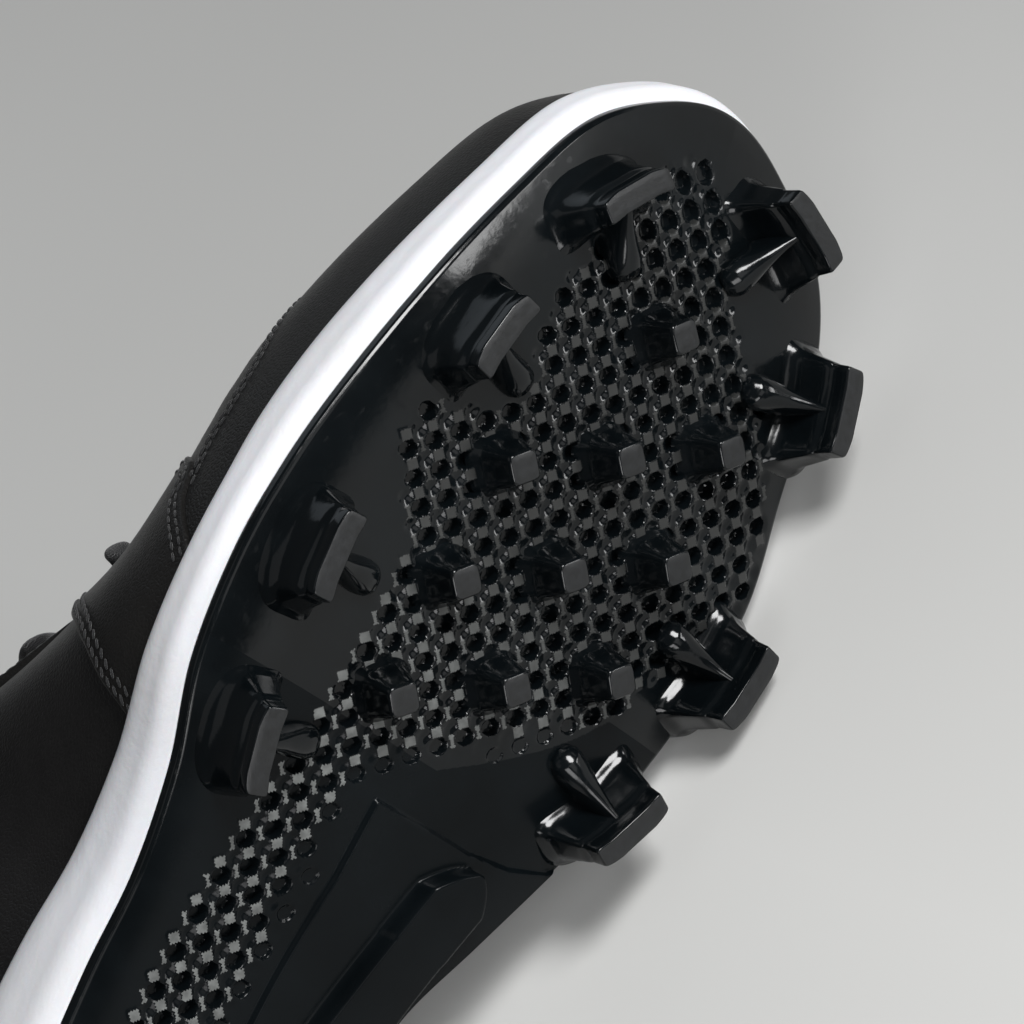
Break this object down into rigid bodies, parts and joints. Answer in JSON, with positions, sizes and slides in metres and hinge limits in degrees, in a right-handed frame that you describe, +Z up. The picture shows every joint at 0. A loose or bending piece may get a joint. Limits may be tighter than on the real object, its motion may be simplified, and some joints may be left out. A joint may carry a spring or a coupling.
{
  "type": "baseball cleat",
  "caption": "Low-cut leather ball shoe for the right foot with a moulded stud plate, white foam midsole and laced throat, lying on its side.",
  "frame": {"origin": "centre of the footprint at floor level, the shoe lying on its medial side", "axes": "+X from the heel to the toe, +Y from the sole towards the collar, +Z up, away from the floor; the sole faces -Y"},
  "size_m": [0.2898, 0.1464, 0.0981],
  "materials": {
    "black_tpu": "glossy injection-moulded thermoplastic polyurethane, near black",
    "white_foam": "matt moulded foam, white with fine creases",
    "insole_cloth": "woven cover over foam, black",
    "black_leather": "full-grain leather with a fine grain, black, satin",
    "overlay_leather": "full-grain leather overlay with a fine grain and stitched edges, black, satin",
    "tongue_fabric": "padded knit, black",
    "lace_cord": "flat woven lace, black"
  },
  "bodies": {
    "root": {"outsole_plate": "black_tpu", "midsole": "white_foam", "insole": "insole_cloth", "upper": "black_leather", "toe_overlay": "overlay_leather", "eyestay_lateral": "overlay_leather", "eyestay_medial": "overlay_leather", "heel_counter": "overlay_leather", "tongue": "tongue_fabric", "laces": "lace_cord"}
  },
  "joints": []
}
